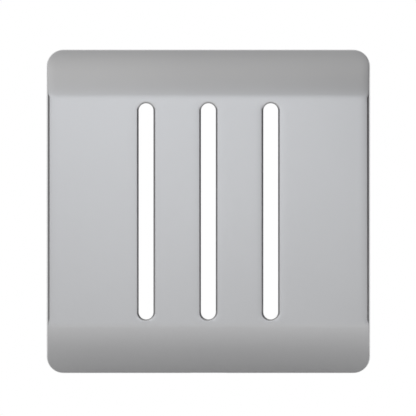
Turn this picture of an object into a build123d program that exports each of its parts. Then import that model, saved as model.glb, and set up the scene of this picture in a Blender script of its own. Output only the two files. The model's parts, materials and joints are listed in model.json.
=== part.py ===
from build123d import *

import os
from math import radians, sin, tan

# Clip-on front plate for a three-way rocker light switch, moulded in one piece.
# It is modelled as it hangs on the wall: +Z is up, +X is to the right of a person who faces it,
# and the front looks towards -Y. The origin is the centre of the rear rim, in the plane of the wall.
# Sizes are in millimetres and angles in degrees.

# Outline at the wall
plate_width = 90.0
plate_height = 90.0
corner_radius = 4.7

# Front face: flat in the middle, then curving back to the top and bottom edges
plate_depth = 8.5  # wall to the flat of the face
face_thickness = 2.0
crease_angle = 8.0  # slope of the face just past the crease
crease_round = 12.0
edge_angle = 24.0  # slope of the face where it reaches the top or bottom edge
edge_round = 0.6  # where the face rolls over into the side walls

# Side walls
wall_thickness = 1.8
wall_draft = 3.0  # the walls lean in towards the front
inner_round = 0.9
rim_round = 0.25

# Rocker slots
slot_count = 3
slot_pitch = 17.3
slot_length = 60.0
slot_width = 4.1
slot_lip_round = 0.6
crease_gap = 0.8  # end of a slot to the start of the crease

# Collar round each slot, on the back of the face
collar_thickness = 1.2
collar_height = 1.4
collar_round = 0.3

# Upright ribs beside the outer slots, which bear on the carrier
rib_spacing = 62.0
rib_length = 54.0
rib_thickness = 1.0
rib_height = 1.8
rib_round = 0.25

# Snap catches on the inside of the left and right walls
catch_spacing = 40.0
catch_length = 10.0
catch_setback = 0.7  # wall plane to the start of the lead-in
catch_lead_in = 1.2
catch_land = 0.4
catch_back = 0.4
catch_reach = 0.8
catch_root = 0.5  # how deep a catch is rooted in its wall

# Notch in the bottom wall, where a flat screwdriver prises the plate off
notch_width = 10.0
notch_height = 1.3
notch_round = 0.5

# Round marks that the ejector pins leave on the back of the face
pin_mark_radius = 2.0
pin_mark_depth = 0.15
pin_mark_spread = 74.0
pin_mark_rise = 50.0

# Values that follow from the sizes above
half_width = plate_width / 2
half_height = plate_height / 2
ceiling_depth = plate_depth - face_thickness  # wall to the back of the face
collar_depth = ceiling_depth - collar_height
rib_depth = ceiling_depth - rib_height
root_overlap = face_thickness / 2  # how far collars and ribs run into the face
inner_corner_radius = max(corner_radius - wall_thickness, inner_round)
flat_half = slot_length / 2 + crease_gap
crease_reach = crease_round * sin(radians(crease_angle))
slope_reach = half_height - flat_half - crease_reach
slope_radius = slope_reach / (sin(radians(edge_angle)) - sin(radians(crease_angle)))


def face_outline(inset):
    """Upper half of the side view of what lies behind the face, moved back by inset."""
    with BuildLine() as upper_half:
        flat = Line((inset - plate_depth, 0), (inset - plate_depth, flat_half))
        crease = JernArc(flat @ 1, flat % 1, crease_round - inset, -crease_angle)
        slope = JernArc(crease @ 1, crease % 1, slope_radius - inset, crease_angle - edge_angle)
        Polyline(slope @ 1, ((slope @ 1).X, plate_height), (0, plate_height), (0, 0), flat @ 0)
    return upper_half.line


def is_side_wall(face):
    """Tell the side walls from the face and the rim, which look forward and back."""
    normal = face.normal_at()
    return abs(normal.Y) < Vector(normal.X, 0, normal.Z).length


def drafted_block(width, height, corner, inset, border_round):
    """A block with leaning walls, closed in front by the curved face moved back by inset."""
    with BuildPart() as block:
        with BuildSketch(Plane.XZ):
            RectangleRounded(width, height, corner)
        extrude(amount=plate_depth, taper=wall_draft)
        with BuildSketch(Plane.YZ):
            add(face_outline(inset))
            make_face()
            mirror(about=Plane.XZ)
        extrude(amount=width, both=True, mode=Mode.INTERSECT)
        walls = block.faces().filter_by(is_side_wall)
        rim = block.faces().sort_by(Axis.Y)[-1]
        front = block.faces() - walls - rim.faces()
        fillet(front.edges() & walls.edges(), border_round)
    return block.part


def inner_wall(depth):
    """Half the clear width between the left and right walls, at a depth in front of the wall plane."""
    return half_width - wall_thickness - depth * tan(radians(wall_draft))


def catch_outline():
    """Section through a snap catch on the right wall, from its lead-in to its holding slope."""
    crest_start = catch_setback + catch_lead_in
    crest_end = crest_start + catch_land
    foot = crest_end + catch_back
    with BuildLine() as section:
        Polyline(
            (inner_wall(catch_setback) + catch_root, -catch_setback),
            (inner_wall(catch_setback), -catch_setback),
            (inner_wall(crest_start) - catch_reach, -crest_start),
            (inner_wall(crest_end) - catch_reach, -crest_end),
            (inner_wall(foot), -foot),
            (inner_wall(foot) + catch_root, -foot),
            close=True,
        )
    return section.line


outside = drafted_block(plate_width, plate_height, corner_radius, 0, edge_round)
hollow = drafted_block(
    plate_width - 2 * wall_thickness,
    plate_height - 2 * wall_thickness,
    inner_corner_radius,
    face_thickness,
    inner_round,
)

with BuildPart() as front_plate:
    # Shell
    add(outside)
    fillet(front_plate.faces().sort_by(Axis.Y)[-1].edges(), rim_round)
    add(hollow, mode=Mode.SUBTRACT)

    # Collars, and the slots through them and the face
    with BuildSketch(Plane.XZ.offset(collar_depth)):
        with GridLocations(slot_pitch, 0, slot_count, 1):
            SlotOverall(
                slot_length + 2 * collar_thickness, slot_width + 2 * collar_thickness, rotation=90
            )
    extrude(amount=collar_height + root_overlap)
    with BuildSketch(Plane.XZ):
        with GridLocations(slot_pitch, 0, slot_count, 1):
            SlotOverall(slot_length, slot_width, rotation=90)
    extrude(amount=plate_depth, mode=Mode.SUBTRACT)
    fillet(front_plate.edges().filter_by_position(Axis.Y, -collar_depth, -collar_depth), collar_round)
    face = front_plate.faces().sort_by(Axis.Y)[0]
    fillet(face.inner_wires().edges(), slot_lip_round)

    # Ribs
    with BuildSketch(Plane.XZ.offset(rib_depth)):
        with GridLocations(rib_spacing, 0, 2, 1):
            Rectangle(rib_thickness, rib_length)
    extrude(amount=rib_height + root_overlap)
    fillet(front_plate.edges().filter_by_position(Axis.Y, -rib_depth, -rib_depth), rib_round)

    # Snap catches, two on each side
    with BuildSketch(Plane.XY.offset(catch_spacing / 2), Plane.XY.offset(-catch_spacing / 2)):
        add(catch_outline())
        make_face()
        mirror(about=Plane.YZ)
    extrude(amount=catch_length / 2, both=True)

    # Screwdriver notch, open towards the wall
    with BuildSketch(Plane.XY.offset(-half_height)) as notch:
        Rectangle(notch_width, 2 * notch_height)
        fillet(notch.vertices(), notch_round)
    extrude(amount=2 * wall_thickness, mode=Mode.SUBTRACT)

    # Ejector pin marks
    with BuildSketch(Plane.XZ.offset(ceiling_depth)):
        with GridLocations(pin_mark_spread, pin_mark_rise, 2, 2):
            Circle(pin_mark_radius)
    extrude(amount=pin_mark_depth, mode=Mode.SUBTRACT)

front_plate.part.label = "front_plate"

os.makedirs("parts", exist_ok=True)
export_step(front_plate.part, "parts/front_plate.step")
print("front_plate", round(front_plate.part.volume), front_plate.part.bounding_box().size)
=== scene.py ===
import json
import math

import bmesh
import bpy
from mathutils import Matrix, Vector

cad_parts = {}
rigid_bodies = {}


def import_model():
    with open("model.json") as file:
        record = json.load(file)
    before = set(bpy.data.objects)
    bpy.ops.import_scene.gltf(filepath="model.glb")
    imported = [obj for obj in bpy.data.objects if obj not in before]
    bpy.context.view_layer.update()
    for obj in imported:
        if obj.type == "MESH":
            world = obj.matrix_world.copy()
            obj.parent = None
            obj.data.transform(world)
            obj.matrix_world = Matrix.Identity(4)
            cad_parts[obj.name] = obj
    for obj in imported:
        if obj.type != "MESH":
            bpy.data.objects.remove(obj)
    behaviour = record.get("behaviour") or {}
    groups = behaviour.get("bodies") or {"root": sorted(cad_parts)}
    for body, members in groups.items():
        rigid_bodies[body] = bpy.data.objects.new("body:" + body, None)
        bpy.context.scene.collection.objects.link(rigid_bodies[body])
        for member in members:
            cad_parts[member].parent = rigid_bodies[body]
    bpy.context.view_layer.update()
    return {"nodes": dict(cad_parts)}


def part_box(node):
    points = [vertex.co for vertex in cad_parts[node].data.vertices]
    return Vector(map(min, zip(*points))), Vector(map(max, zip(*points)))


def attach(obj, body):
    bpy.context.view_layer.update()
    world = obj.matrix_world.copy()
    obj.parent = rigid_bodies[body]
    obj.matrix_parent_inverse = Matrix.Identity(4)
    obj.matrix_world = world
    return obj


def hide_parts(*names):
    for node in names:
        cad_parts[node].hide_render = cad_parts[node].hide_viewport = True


for spare in list(bpy.data.objects):
    bpy.data.objects.remove(spare)  # the cube, lamp and camera of the startup file

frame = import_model()
print("frame loaded:", sorted(frame["nodes"]))

mm = 0.001
nearly = 0.001  # millimetres within which two places count as one


def addNode(tree, kind, inputs=None, **settings):
    # one node with its settings; an input is given a value, or another node's output to link
    node = tree.nodes.new(kind)
    for name, value in settings.items():
        setattr(node, name, value)
    for name, value in (inputs or {}).items():
        if isinstance(value, bpy.types.NodeSocket):
            tree.links.new(value, node.inputs[name])
        else:
            node.inputs[name].default_value = value
    return node


def linearColour(hexColour):
    # an sRGB hex colour as the linear values that shaders take
    parts = [int(hexColour[place:place + 2], 16) / 255 for place in (1, 3, 5)]
    linear = [part / 12.92 if part <= 0.04045 else ((part + 0.055) / 1.055) ** 2.4 for part in parts]
    return (*linear, 1)


# The plate's sizes in millimetres; its width, height and depth come from the frame
boxLow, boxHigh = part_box("front_plate")
plate = {
    "depth": -boxLow.y / mm,
    "cornerRadius": 4.7,
    "draft": 3.0,  # degrees that the walls lean in
    "wall": 1.8,
    "face": 2.0,
    "creaseAngle": 8.0,
    "creaseRound": 12.0,
    "edgeAngle": 24.0,
    "edgeRound": 0.7,  # beside the flat
    "sharpRound": 0.15,  # everywhere else
    "roundRise": 0.85,  # the rounder stretch sits this far above the middle
    "roundTaper": 0.6,  # and tightens over this share of the crease's run
    "lead": 2.0,  # the face begins to roll this far before an edge or slot
    "leadSag": 0.06,  # and has sunk by this much there
    "innerRound": 0.9,
    "rimRound": 0.25,
    "slotPitch": 17.3,
    "slotLength": 60.0,
    "slotWidth": 4.1,
    "lipRound": 0.6,
    "creaseGap": 0.8,
    "collar": 1.2,
    "collarHeight": 1.4,
    "collarRound": 0.3,
    "ribSpacing": 62.0,
    "ribLength": 54.0,
    "ribThickness": 1.0,
    "ribHeight": 1.8,
    "ribRound": 0.25,
    "catchSpacing": 40.0,
    "catchLength": 10.0,
    "catchDepths": (0.7, 1.9, 2.3, 2.7),  # foot, crest, crest, foot
    "catchReach": 0.8,
    "notchWidth": 10.0,
    "notchHeight": 1.3,
    "notchRound": 0.5,
    "markRadius": 2.0,
    "markDepth": 0.15,
    "markSpread": 74.0,
    "markRise": 50.0,
    "sharpFrom": 38,  # degrees between faces from which an edge is drawn sharp
}
# How many steps each curve and stretch is made in
steps = {
    "corner": 16,
    "edge": 10,
    "lead": 4,
    "lip": 8,
    "slotEnd": 16,
    "crease": 5,
    "slope": 14,
    "small": 3,
    "notch": 4,
    "settle": 3,  # passes in which the shortening of the walls settles
}
coat, plastic = 0, 1  # material slots

lean = math.radians(plate["draft"])  # of the side walls
leanIn = math.tan(lean)  # how far they lean in with each millimetre to the front
leadSlope = math.degrees(math.atan(2 * plate["leadSag"] / plate["lead"]))  # of the face where a roll begins
rimTrim = plate["rimRound"] * (leanIn + 1 / math.cos(lean) - 1)  # the rounded rim falls short by this
outline = {
    "x": 0,
    "z": 0,
    "coreX": boxHigh.x / mm + rimTrim - plate["cornerRadius"],
    "coreZ": boxHigh.z / mm + rimTrim - plate["cornerRadius"],
}
ceiling = plate["depth"] - plate["face"]  # depth of the back of the face
flatHalf = plate["slotLength"] / 2 + plate["creaseGap"]
creaseReach = plate["creaseRound"] * math.sin(math.radians(plate["creaseAngle"]))
slopeStart = flatHalf + creaseReach


def awayFromCore(point, ring):
    # a ring lies at one distance round its core, a flat rectangle;
    # this gives the core's nearest point, and the direction and distance of a point from there
    core = Vector((
        ring["x"] + max(-ring["coreX"], min(ring["coreX"], point.x - ring["x"])),
        0,
        ring["z"] + max(-ring["coreZ"], min(ring["coreZ"], point.z - ring["z"])),
    ))
    way = Vector((point.x, 0, point.z)) - core
    return core, way.normalized(), way.length


def outlineFace(bm, ring, distance, depth, segments):
    # one upright face with round corners, towards the front
    corners = bmesh.ops.create_grid(bm, x_segments=1, y_segments=1, size=0.5)["verts"]
    size = (2 * (ring["coreX"] + distance), 2 * (ring["coreZ"] + distance), 1)
    bmesh.ops.scale(bm, verts=corners, vec=size)
    bmesh.ops.rotate(bm, verts=corners, cent=(0, 0, 0), matrix=Matrix.Rotation(math.radians(90), 3, "X"))
    bmesh.ops.translate(bm, verts=corners, vec=(ring["x"], -depth, ring["z"]))
    rounded = bmesh.ops.bevel(
        bm, geom=corners, offset=distance, segments=segments, profile=0.5, affect="VERTICES", material=-1
    )
    return rounded["verts"][0].link_faces[0]


def outlineLoop(bm, ring, distance, depth, segments):
    # only the edges of such a face
    face = outlineFace(bm, ring, distance, depth, segments)
    edges = face.edges[:]
    bmesh.ops.delete(bm, geom=[face], context="FACES_ONLY")
    return edges


def arc(out, depth, radius, start, end, count):
    # stations (distance, depth) round a circle: 90 degrees faces the front, 0 outwards, -90 the wall
    turns = [math.radians(start + (end - start) * step / count) for step in range(count + 1)]
    return [(out + radius * math.cos(turn), depth + radius * math.sin(turn)) for turn in turns]


def leaningArc(wallOut, depth, radius, start, end, count):
    # the same, against a wall that stands at wallOut in the wall plane and leans in from there
    return arc(wallOut - depth * leanIn - radius / math.cos(lean), depth, radius, start, end, count)


def rollOff(out, depth, inwards):
    # the slow start of a roll, which ends at a distance and depth;
    # inwards is 1 at an outer edge and -1 at a slot
    lead, sag = inwards * plate["lead"], plate["leadSag"]
    shares = [step / steps["lead"] for step in range(steps["lead"])]
    return [(out - lead * (1 - share), depth + sag * (1 - share ** 2)) for share in shares]


def fadeRollOff(bm, slot, lipOut):
    # round the ends of a slot, close to the crease, the slow start of the roll dies away
    for vert in bm.verts:
        core, away, out = awayFromCore(vert.co, slot)
        sunk = plate["depth"] + vert.co.y
        if out < lipOut + plate["lead"] + nearly and sunk < plate["lipRound"] + plate["leadSag"] + nearly:
            if out > lipOut:
                vert.co = core + away * (lipOut + (out - lipOut) * away.x ** 2)
            vert.co.y = sunk - plate["depth"] - min(sunk, plate["leadSag"]) * (1 - away.x ** 2)


def roundEdge(radius):
    # stations over the plate's edge, from the face to the side wall
    begin = 90 - leadSlope
    centre = plate["depth"] - plate["leadSag"] - radius * math.sin(math.radians(begin))
    turned = leaningArc(plate["cornerRadius"], centre, radius, begin, plate["draft"], steps["edge"])
    return rollOff(*turned[0], 1) + turned


def sharpenEdge(bm):
    # the edge is rounder beside the flat; near the crease it tightens
    wide, tight = roundEdge(plate["edgeRound"]), roundEdge(plate["sharpRound"])
    taper = creaseReach * plate["roundTaper"]
    for vert in bm.verts:
        share = max(0, min(1, (abs(vert.co.z - plate["roundRise"]) - flatHalf) / taper))
        core, away, distance = awayFromCore(vert.co, outline)
        depth = -vert.co.y
        for (wideOut, wideDepth), (tightOut, tightDepth) in zip(wide, tight):
            if share and abs(distance - wideOut) < nearly and abs(depth - wideDepth) < nearly:
                vert.co = core + away * (wideOut + (tightOut - wideOut) * share)
                vert.co.y = -(wideDepth + (tightDepth - wideDepth) * share)
                break


def loft(bm, edges, ring, stations, slot):
    # carries a loop on through its stations and returns the last loop
    for distance, depth in stations:
        made = bmesh.ops.extrude_edge_only(bm, edges=edges)["geom"]
        for item in made:
            if isinstance(item, bmesh.types.BMVert):
                core, away, _ = awayFromCore(item.co, ring)
                item.co = core + away * distance
                item.co.y = -depth
            elif isinstance(item, bmesh.types.BMFace):
                item.material_index = slot
        edges = [item for item in made if isinstance(item, bmesh.types.BMEdge) and item.is_boundary]
    return edges


def cutLevels(bm, faces, levels):
    # level cuts across flat faces, so that they can bend there
    for level in levels:
        parts = list(dict.fromkeys(part for face in faces for part in (face, *face.edges, *face.verts)))
        cut = bmesh.ops.bisect_plane(
            bm, geom=parts, dist=nearly / 2, plane_co=(0, 0, level), plane_no=(0, 0, 1)
        )
        faces = [item for item in cut["geom"] if isinstance(item, bmesh.types.BMFace)]


def faceDrop(height):
    # how far the face has fallen back towards the wall at a height
    creaseAngle, edgeAngle = math.radians(plate["creaseAngle"]), math.radians(plate["edgeAngle"])
    beyond = max(0, abs(height) - flatHalf)
    if beyond <= creaseReach:
        return plate["creaseRound"] - math.sqrt(plate["creaseRound"] ** 2 - beyond ** 2)
    slopeReach = outline["coreZ"] + plate["cornerRadius"] - flatHalf - creaseReach
    slopeRound = slopeReach / (math.sin(edgeAngle) - math.sin(creaseAngle))
    slope = math.asin(math.sin(creaseAngle) + (beyond - creaseReach) / slopeRound)
    creaseDrop = plate["creaseRound"] * (1 - math.cos(creaseAngle))
    return creaseDrop + slopeRound * (math.cos(creaseAngle) - math.cos(slope))


def bendFace(bm):
    # above and below the flat the face falls back, its back with it, and the walls shorten along their lean
    still = plate["notchHeight"] + plate["rimRound"]
    full = ceiling - plate["innerRound"]
    for vert in bm.verts:
        share = max(0, min(1, (-vert.co.y - still) / (full - still)))
        away = awayFromCore(vert.co, outline)[1]
        drop = faceDrop(vert.co.z) * share
        for _ in range(steps["settle"]):
            drop = faceDrop(vert.co.z + away.z * drop * leanIn) * share
        vert.co += away * drop * leanIn
        vert.co.y += drop


def notchPoints():
    # outline of one side of the notch: distance from its middle, and height above the wall
    soft = plate["notchRound"]
    across, high = plate["notchWidth"] / 2 - soft, plate["notchHeight"] - soft
    turns = [math.radians(90 * step / steps["notch"]) for step in range(steps["notch"] + 1)]
    return [(across + soft * math.sin(turn), high + soft * math.cos(turn)) for turn in turns]


def cutNotch(bm):
    # the screwdriver notch, through the bottom wall from outside to inside
    points, deep = notchPoints(), plate["notchHeight"]
    for vert in bm.verts:
        onTop = vert.co.z < -outline["coreZ"] and abs(vert.co.y + deep) < nearly
        for across, high in points:
            if onTop and abs(abs(vert.co.x) - across) < nearly:
                vert.co.z -= (deep - high) * leanIn
                vert.co.y = -high
    gone = [
        face for face in bm.faces
        if all(vert.co.z < -outline["coreZ"] and -vert.co.y < deep + nearly for vert in face.verts)
        if abs(face.calc_center_median().x) < plate["notchWidth"] / 2
    ]
    bmesh.ops.delete(bm, geom=gone, context="FACES")
    bare = [edge for edge in bm.edges if edge.is_boundary]
    roof = [edge for edge in bare if all(-vert.co.y > points[-1][1] - nearly for vert in edge.verts)]
    bmesh.ops.bridge_loops(bm, edges=roof)
    bmesh.ops.holes_fill(bm, edges=[edge for edge in bm.edges if edge.is_boundary], sides=0)


def addCatches(bm):
    # the snap catches swell out of the inside of the left and right walls
    foot, crestStart, crestEnd, top = plate["catchDepths"]
    low = (plate["catchSpacing"] - plate["catchLength"]) / 2
    squarely = 0.9  # how nearly a face of the wall looks sideways
    for side in (-1, 1):
        for upDown in (-1, 1):
            faces = []
            for face in bm.faces:
                centre = face.calc_center_median()
                onWall = face.material_index == plastic and centre.x * side > outline["coreX"]
                inLength = low < centre.z * upDown < low + plate["catchLength"]
                if onWall and inLength and abs(face.normal.x) > squarely and foot < -centre.y < top:
                    faces.append(face)
            made = bmesh.ops.extrude_face_region(bm, geom=faces)["geom"]
            bmesh.ops.delete(bm, geom=[face for face in faces if face.is_valid], context="FACES")
            for vert in [item for item in made if isinstance(item, bmesh.types.BMVert)]:
                depth = -vert.co.y
                vert.co.x -= side * plate["catchReach"] * max(
                    0, min((depth - foot) / (crestStart - foot), 1, (top - depth) / (top - crestEnd))
                )
    bmesh.ops.remove_doubles(bm, verts=bm.verts[:], dist=2 * nearly)


def buildPlate():
    bm = bmesh.new()
    radius, inside = plate["cornerRadius"], plate["cornerRadius"] - plate["wall"]
    decimals = 4  # places of a millimetre to which levels are rounded, so that equal ones merge

    # Front face, with points in its bottom edge for the notch, and with level cuts
    # where the catches end, where its edge begins to tighten, and where it bends
    front = roundEdge(plate["edgeRound"])
    face = outlineFace(bm, outline, *front[0], steps["corner"])
    bottom = min(face.edges, key=lambda edge: max(vert.co.z for vert in edge.verts))
    columns = sorted(sign * across for across, high in notchPoints() for sign in (-1, 1))
    split = bmesh.ops.subdivide_edges(bm, edges=[bottom], cuts=len(columns))["geom_inner"]
    onEdge = [item for item in split if isinstance(item, bmesh.types.BMVert)]
    onEdge.sort(key=lambda vert: vert.co.x)
    for vert, across in zip(onEdge, columns):
        vert.co.x = across
    levels = [(plate["catchSpacing"] + sign * plate["catchLength"]) / 2 for sign in (-1, 1)]
    levels += [flatHalf - plate["roundRise"], flatHalf - plate["roundRise"] / 4]
    levels += [flatHalf + creaseReach * step / steps["crease"] for step in range(steps["crease"])]
    slope = outline["coreZ"] - slopeStart
    levels += [slopeStart + slope * step / steps["slope"] for step in range(steps["slope"])]
    corner = {round(vert.co.z, decimals) for vert in face.verts if vert.co.z > outline["coreZ"] - nearly}
    levels += sorted(corner)[:-1]
    cutLevels(bm, [face], levels + [-level for level in levels])

    # Over the edge, down the walls, round the rim, and up inside to the back of the face
    edges = [edge for edge in bm.edges if edge.is_boundary]
    notchTop = (radius - plate["notchHeight"] * leanIn, plate["notchHeight"])
    edges = loft(bm, edges, outline, front[1:] + [notchTop], coat)
    rim = leaningArc(radius, plate["rimRound"], plate["rimRound"], plate["draft"], -90, steps["small"])
    edges = loft(bm, edges, outline, rim, coat)
    depths = sorted((0, plate["notchHeight"], *plate["catchDepths"]))
    back = leaningArc(
        inside, ceiling - plate["innerRound"], plate["innerRound"], plate["draft"], 90, 2 * steps["small"]
    )
    up = [(inside - depth * leanIn, depth) for depth in depths]
    edges = loft(bm, edges, outline, up + back, plastic)
    filled = bmesh.ops.edgeloop_fill(bm, edges=edges, mat_nr=plastic)["faces"]
    cutLevels(bm, filled, sorted({round(vert.co.z, decimals) for vert in filled[0].verts})[1:-1])

    # Clear the flat middle, in front and behind, for the slots and what stands beside them
    for depth, reach in ((plate["depth"], flatHalf), (ceiling, slopeStart)):
        middle = [
            face for face in bm.faces
            if all(abs(vert.co.y + depth) < nearly and abs(vert.co.z) < reach + nearly for vert in face.verts)
        ]
        bmesh.ops.delete(bm, geom=middle, context="FACES")

    # Slots, from the lip through to the collar's mouth and up its outside to the back of the face
    half, lip, soft = plate["slotWidth"] / 2, plate["lipRound"], plate["collarRound"]
    mouthCentre = ceiling - plate["collarHeight"] + soft
    for place in (-1, 0, 1):
        slot = {"x": place * plate["slotPitch"], "z": 0, "coreX": 0, "coreZ": plate["slotLength"] / 2 - half}
        begin = 90 + leadSlope
        centre = plate["depth"] - plate["leadSag"] - lip * math.sin(math.radians(begin))
        lips = arc(half + lip, centre, lip, begin, 180, steps["lip"])
        lips = rollOff(*lips[0], -1) + lips
        mouth = arc(half + soft, mouthCentre, soft, 180, 270, steps["small"])
        outer = arc(half + plate["collar"] - soft, mouthCentre, soft, 270, 360, steps["small"])
        edges = outlineLoop(bm, slot, *lips[0], steps["slotEnd"])
        edges = loft(bm, edges, slot, lips[1:-2], coat)
        loft(bm, edges, slot, lips[-2:] + mouth + outer + [(half + plate["collar"], ceiling)], plastic)
        fadeRollOff(bm, slot, half + lip)

    # Ribs, and the marks of the ejector pins
    for side in (-1, 1):
        soft = plate["ribRound"]
        coreX, coreZ = plate["ribThickness"] / 2 - soft, plate["ribLength"] / 2 - soft
        rib = {"x": side * plate["ribSpacing"] / 2, "z": 0, "coreX": coreX, "coreZ": coreZ}
        edges = outlineLoop(bm, rib, soft, ceiling, steps["small"])
        crest = arc(0, ceiling - plate["ribHeight"] + soft, soft, 0, -90, steps["small"])
        edges = loft(bm, edges, rib, crest, plastic)
        bmesh.ops.edgeloop_fill(bm, edges=edges, mat_nr=plastic)
        for upDown in (-1, 1):
            across, rise = side * plate["markSpread"] / 2, upDown * plate["markRise"] / 2
            mark = {"x": across, "z": rise, "coreX": 0, "coreZ": 0}
            edges = outlineLoop(bm, mark, plate["markRadius"], ceiling, steps["corner"])
            edges = loft(bm, edges, mark, [(plate["markRadius"], ceiling + plate["markDepth"])], plastic)
            bmesh.ops.edgeloop_fill(bm, edges=edges, mat_nr=plastic)
    bmesh.ops.remove_doubles(bm, verts=bm.verts[:], dist=2 * nearly)

    # Close the flat middle again round all of these
    for depth, slot in ((plate["depth"], coat), (ceiling, plastic)):
        border = [
            edge for edge in bm.edges
            if edge.is_boundary and all(abs(vert.co.y + depth) < nearly for vert in edge.verts)
        ]
        made = bmesh.ops.triangle_fill(bm, use_beauty=True, edges=border, normal=(0, -1, 0))["geom"]
        for face in [item for item in made if isinstance(item, bmesh.types.BMFace)]:
            face.material_index = slot
    bmesh.ops.recalc_face_normals(bm, faces=bm.faces[:])

    addCatches(bm)
    sharpenEdge(bm)
    bendFace(bm)
    cutNotch(bm)
    bmesh.ops.recalc_face_normals(bm, faces=bm.faces[:])
    gaps = sum(not edge.is_manifold for edge in bm.edges)
    print("plate built:", len(bm.faces), "faces,", gaps, "open edges,", round(bm.calc_volume()), "cubic mm")
    bmesh.ops.scale(bm, verts=bm.verts[:], vec=(mm, mm, mm))
    mesh = bpy.data.meshes.new("plate_moulding")
    bm.to_mesh(mesh)
    bm.free()
    return mesh


plateMesh = buildPlate()
plateMesh.shade_smooth()
plateMesh.set_sharp_from_angle(angle=math.radians(plate["sharpFrom"]))
plateMoulding = bpy.data.objects.new("plate_moulding", plateMesh)
bpy.context.scene.collection.objects.link(plateMoulding)
evenShading = plateMoulding.modifiers.new("even shading", "WEIGHTED_NORMAL")
evenShading.keep_sharp = True
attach(plateMoulding, "root")
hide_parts("front_plate")


# Satin steel effect, sprayed and finely brushed: a soft metal sheen with no grain to see from arm's length
steelCoat = {
    "light": "#CECECF",
    "dark": "#C9C9CA",
    "patch": 30.0,  # mm, slow change of tone
    "patchDetail": 2,
    "brushLength": 7.0,  # mm
    "brushWidth": 0.16,  # mm, twice the real spacing, so that close views show it
    "brushHeight": 0.0006,  # mm
    "brushDetail": 3,
    "brushFineness": 0.6,  # share that each finer layer of scratches keeps
    "roughness": (0.31, 0.36),
}


def makeSteelCoat():
    material = bpy.data.materials.new("satin_steel_coat")
    material.use_nodes = True
    tree = material.node_tree
    tree.nodes.clear()
    place = addNode(tree, "ShaderNodeTexCoord").outputs["Object"]
    along, across = 1 / (steelCoat["brushLength"] * mm), 1 / (steelCoat["brushWidth"] * mm)
    brushed = addNode(tree, "ShaderNodeMapping", {"Vector": place, "Scale": (along, across, across)})
    brush = addNode(
        tree,
        "ShaderNodeTexNoise",
        {
            "Vector": brushed.outputs[0],
            "Scale": 1,
            "Detail": steelCoat["brushDetail"],
            "Roughness": steelCoat["brushFineness"],
        },
    )
    patch = addNode(
        tree,
        "ShaderNodeTexNoise",
        {"Vector": place, "Scale": 1 / (steelCoat["patch"] * mm), "Detail": steelCoat["patchDetail"]},
    )
    tone = addNode(
        tree,
        "ShaderNodeMix",
        {0: patch.outputs["Fac"], 6: linearColour(steelCoat["dark"]), 7: linearColour(steelCoat["light"])},
        data_type="RGBA",
    )
    low, high = steelCoat["roughness"]
    rough = addNode(
        tree, "ShaderNodeMapRange", {"Value": brush.outputs["Fac"], "To Min": low, "To Max": high}
    )
    bump = addNode(
        tree,
        "ShaderNodeBump",
        {"Height": brush.outputs["Fac"], "Distance": steelCoat["brushHeight"] * mm, "Strength": 1},
    )
    shader = addNode(
        tree,
        "ShaderNodeBsdfPrincipled",
        {
            "Base Color": tone.outputs[2],
            "Metallic": 1,
            "Roughness": rough.outputs["Result"],
            "Normal": bump.outputs["Normal"],
        },
    )
    addNode(tree, "ShaderNodeOutputMaterial", {"Surface": shader.outputs["BSDF"]})
    return material


# Bare polycarbonate as it leaves a spark-eroded mould: matt grey, very finely pitted
barePlastic = {
    "light": "#7E8083",
    "dark": "#737578",
    "spray": "#B4B5B7",  # the coat's overspray, thinning inwards from the rim and from the slots' lips
    "sprayReach": 2.2,  # mm
    "sprayCover": 1.8,  # above 1, so that it covers fully before it thins
    "sprayBreak": 0.7,  # how much the pits break it up
    "patch": 18.0,  # mm, slow change of tone
    "patchDetail": 3,
    "pit": 0.22,  # mm, drawn about three times too coarse, so that close views show it
    "pitDepth": 0.006,  # mm
    "pitDetail": 2,
    "roughness": (0.48, 0.6),
    "ior": 1.585,
}


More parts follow.
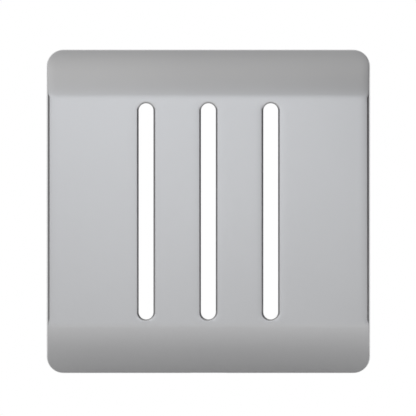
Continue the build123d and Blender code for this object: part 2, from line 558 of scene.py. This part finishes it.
def makeBarePlastic():
    material = bpy.data.materials.new("moulded_polycarbonate")
    material.use_nodes = True
    tree = material.node_tree
    tree.nodes.clear()
    place = addNode(tree, "ShaderNodeTexCoord").outputs["Object"]
    pit = addNode(
        tree,
        "ShaderNodeTexNoise",
        {"Vector": place, "Scale": 1 / (barePlastic["pit"] * mm), "Detail": barePlastic["pitDetail"]},
    )
    patch = addNode(
        tree,
        "ShaderNodeTexNoise",
        {"Vector": place, "Scale": 1 / (barePlastic["patch"] * mm), "Detail": barePlastic["patchDetail"]},
    )
    tone = addNode(
        tree,
        "ShaderNodeMix",
        {
            0: patch.outputs["Fac"],
            6: linearColour(barePlastic["dark"]),
            7: linearColour(barePlastic["light"]),
        },
        data_type="RGBA",
    )
    depth = addNode(tree, "ShaderNodeSeparateXYZ", {"Vector": place}).outputs["Y"]
    reach, lip = barePlastic["sprayReach"] * mm, (plate["lipRound"] - plate["depth"]) * mm
    nearRim = addNode(tree, "ShaderNodeMapRange", {"Value": depth, "From Min": -reach, "From Max": 0})
    nearLip = addNode(tree, "ShaderNodeMapRange", {"Value": depth, "From Min": lip + reach, "From Max": lip})
    near = addNode(
        tree,
        "ShaderNodeMath",
        {0: nearRim.outputs["Result"], 1: nearLip.outputs["Result"]},
        operation="MAXIMUM",
    )
    speckled = addNode(
        tree, "ShaderNodeMath", {0: pit.outputs["Fac"], 1: barePlastic["sprayBreak"]}, operation="SUBTRACT"
    )
    spray = addNode(
        tree,
        "ShaderNodeMath",
        {0: near.outputs[0], 1: barePlastic["sprayCover"], 2: speckled.outputs[0]},
        operation="MULTIPLY_ADD",
        use_clamp=True,
    )
    sprayed = addNode(
        tree,
        "ShaderNodeMix",
        {0: spray.outputs[0], 6: tone.outputs[2], 7: linearColour(barePlastic["spray"])},
        data_type="RGBA",
    )
    low, high = barePlastic["roughness"]
    rough = addNode(
        tree, "ShaderNodeMapRange", {"Value": patch.outputs["Fac"], "To Min": low, "To Max": high}
    )
    bump = addNode(
        tree,
        "ShaderNodeBump",
        {"Height": pit.outputs["Fac"], "Distance": barePlastic["pitDepth"] * mm, "Strength": 1},
    )
    shader = addNode(
        tree,
        "ShaderNodeBsdfPrincipled",
        {
            "Base Color": sprayed.outputs[2],
            "IOR": barePlastic["ior"],
            "Roughness": rough.outputs["Result"],
            "Normal": bump.outputs["Normal"],
        },
    )
    addNode(tree, "ShaderNodeOutputMaterial", {"Surface": shader.outputs["BSDF"]})
    return material


plateMesh.materials.append(makeSteelCoat())
plateMesh.materials.append(makeBarePlastic())
print("materials made")


# Camera square to the plate and far off, as the photograph shows hardly any perspective; in metres
camera = {
    "distance": 3.0,
    "viewWidth": 0.11573,  # of what the frame takes in at the plate
    "across": -0.00011,
    "up": 0.00092,
}
cameraData = bpy.data.cameras.new("camera")
cameraData.lens = cameraData.sensor_width * camera["distance"] / camera["viewWidth"]
cameraObject = bpy.data.objects.new("camera", cameraData)
cameraObject.location = (camera["across"], -camera["distance"], camera["up"])
cameraObject.rotation_euler = (math.radians(90), 0, 0)
bpy.context.scene.collection.objects.link(cameraObject)
bpy.context.scene.camera = cameraObject
print("camera placed")


# Floor a little below the plate: pale, keeps the shadow, and fades to the background's white further out.
# From a point "forward" metres in front of the plate, the share of white grows between the distances "begin"
# and "end", from "least" to all; with "across" 0 only the distance to the front or back counts.
floor = {
    "drop": 0.06,  # metres below the plate's middle
    "reach": (0.25, 0.9),  # metres to the sides, and to the front and back
    "segments": 96,
    "colour": "#E4E4E4",
    "seenFade": {"forward": 0.12, "across": 1, "begin": 0.12, "end": 0.23, "least": 0.55},
    "mirroredFade": {"forward": 0, "across": 0, "begin": 0.01, "end": 0.16, "least": 0},
}
floorMesh = bpy.data.meshes.new("floor")
floorBuild = bmesh.new()
bmesh.ops.create_circle(floorBuild, cap_ends=True, segments=floor["segments"], radius=1)
bmesh.ops.scale(floorBuild, verts=floorBuild.verts[:], vec=(*floor["reach"], 1))
bmesh.ops.translate(floorBuild, verts=floorBuild.verts[:], vec=(0, 0, -floor["drop"]))
floorBuild.to_mesh(floorMesh)
floorBuild.free()
floorObject = bpy.data.objects.new("floor", floorMesh)
bpy.context.scene.collection.objects.link(floorObject)

floorMaterial = bpy.data.materials.new("floor")
floorMaterial.use_nodes = True
tree = floorMaterial.node_tree
tree.nodes.clear()
rays = addNode(tree, "ShaderNodeLightPath")
seen = addNode(
    tree,
    "ShaderNodeMath",
    {0: rays.outputs["Is Camera Ray"], 1: rays.outputs["Is Transmission Ray"]},
    operation="MAXIMUM",
)
place = addNode(tree, "ShaderNodeTexCoord").outputs["Object"]
shares = []
for ray, part in ((seen.outputs[0], "seenFade"), (rays.outputs["Is Glossy Ray"], "mirroredFade")):
    fade = floor[part]
    centred = addNode(
        tree,
        "ShaderNodeMapping",
        {"Vector": place, "Location": (0, fade["forward"], 0), "Scale": (fade["across"], 1, 0)},
    )
    reach = addNode(tree, "ShaderNodeVectorMath", {0: centred.outputs["Vector"]}, operation="LENGTH")
    faded = addNode(
        tree,
        "ShaderNodeMapRange",
        {
            "Value": reach.outputs["Value"],
            "From Min": fade["begin"],
            "From Max": fade["end"],
            "To Min": fade["least"],
        },
    )
    shares.append(addNode(tree, "ShaderNodeMath", {0: faded.outputs["Result"], 1: ray}, operation="MULTIPLY"))
share = addNode(
    tree, "ShaderNodeMath", {0: shares[0].outputs[0], 1: shares[1].outputs[0]}, operation="MAXIMUM"
)
matt = addNode(tree, "ShaderNodeBsdfDiffuse", {"Color": linearColour(floor["colour"])})
white = addNode(tree, "ShaderNodeEmission", {"Color": (1, 1, 1, 1), "Strength": 1})
mixed = addNode(
    tree, "ShaderNodeMixShader", {0: share.outputs[0], 1: matt.outputs["BSDF"], 2: white.outputs["Emission"]}
)
addNode(tree, "ShaderNodeOutputMaterial", {"Surface": mixed.outputs["Shader"]})
floorMesh.materials.append(floorMaterial)
print("floor laid")


# World: white for the camera; for light and mirroring, a dim studio in front of the plate and white behind it
studio = {
    "heights": [0.0, 0.5, 0.58, 0.7, 0.85, 1.0],  # from straight down to straight up
    "left": [0.08, 0.12, 0.35, 0.46, 0.66, 0.9],  # how bright the studio is at those heights
    "right": [0.05, 0.08, 0.08, 0.13, 0.2, 0.38],
    "blend": (-0.6, 0.6),  # sideways part of a direction over which left turns into right
    "behind": (0.5, 0.9),  # rearward part of a direction over which the studio turns white
}
world = bpy.data.worlds.new("studio")
bpy.context.scene.world = world
world.use_nodes = True
tree = world.node_tree
tree.nodes.clear()
direction = addNode(tree, "ShaderNodeTexCoord").outputs["Generated"]
parts = addNode(tree, "ShaderNodeSeparateXYZ", {"Vector": direction})
height = addNode(tree, "ShaderNodeMapRange", {"Value": parts.outputs["Z"], "From Min": -1, "From Max": 1})
ramps = []
for side in ("left", "right"):
    ramp = addNode(tree, "ShaderNodeValToRGB", {"Fac": height.outputs["Result"]})
    while len(ramp.color_ramp.elements) < len(studio["heights"]):
        ramp.color_ramp.elements.new(0.5)
    for element, position, level in zip(ramp.color_ramp.elements, studio["heights"], studio[side]):
        element.position = position
        element.color = (level, level, level, 1)
    ramps.append(ramp)
begin, end = studio["blend"]
toRight = addNode(
    tree, "ShaderNodeMapRange", {"Value": parts.outputs["X"], "From Min": begin, "From Max": end}
)
dim = addNode(
    tree,
    "ShaderNodeMix",
    {0: toRight.outputs["Result"], 6: ramps[0].outputs["Color"], 7: ramps[1].outputs["Color"]},
    data_type="RGBA",
)
begin, end = studio["behind"]
behind = addNode(
    tree, "ShaderNodeMapRange", {"Value": parts.outputs["Y"], "From Min": begin, "From Max": end}
)
mirrored = addNode(
    tree, "ShaderNodeMix", {0: behind.outputs["Result"], 6: dim.outputs[2], 7: (1, 1, 1, 1)}, data_type="RGBA"
)
rays = addNode(tree, "ShaderNodeLightPath")
direct = addNode(
    tree,
    "ShaderNodeMath",
    {0: rays.outputs["Is Camera Ray"], 1: rays.outputs["Is Transmission Ray"]},
    operation="MAXIMUM",
)
shown = addNode(
    tree, "ShaderNodeMix", {0: direct.outputs[0], 6: mirrored.outputs[2], 7: (1, 1, 1, 1)}, data_type="RGBA"
)
background = addNode(tree, "ShaderNodeBackground", {"Color": shown.outputs[2], "Strength": 1})
addNode(tree, "ShaderNodeOutputWorld", {"Surface": background.outputs["Background"]})


# Lamps, in metres and watts; the three lower ones are a touch cooler
lamps = {
    "key": {
        "place": (0, -0.5, 0.06),
        "aim": (0, 0, 0.01),
        "size": (0.3, 0.2),
        "power": 0.101,
        "colour": "#F8FBFF",
    },
    "nearKey": {
        "place": (-0.02, -0.3, 0.05),
        "aim": (0, 0, 0.01),
        "size": (0.16, 0.1),
        "power": 0.034,
        "colour": "#F8FBFF",
    },
    "leftFill": {
        "place": (-0.2, -0.45, 0.1),
        "aim": (0, 0, 0.01),
        "size": (0.2, 0.2),
        "power": 0.044,
        "colour": "#F8FBFF",
    },
    "highLeft": {
        "place": (-0.14, -0.42, 0.26),
        "aim": (0, 0, 0.01),
        "size": (0.3, 0.2),
        "power": 0.075,
        "colour": "#FFFEFC",
    },
    "nearTop": {
        "place": (-0.05, -0.22, 0.2),
        "aim": (0, 0, 0.03),
        "size": (0.3, 0.12),
        "power": 0.024,
        "colour": "#FFFEFC",
    },
}
for name, lamp in lamps.items():
    lampData = bpy.data.lights.new(name, "AREA")
    lampData.shape = "RECTANGLE"
    lampData.size, lampData.size_y = lamp["size"]
    lampData.energy = lamp["power"]
    lampData.color = linearColour(lamp["colour"])[:3]
    lampObject = bpy.data.objects.new(name, lampData)
    lampObject.location = lamp["place"]
    towards = Vector(lamp["aim"]) - Vector(lamp["place"])
    lampObject.rotation_euler = towards.to_track_quat("-Z", "Y").to_euler()
    lampObject.visible_camera = False  # it doesn't stand in the camera's way
    bpy.context.scene.collection.objects.link(lampObject)
print("studio lit")

bpy.context.scene.view_settings.view_transform = "Standard"
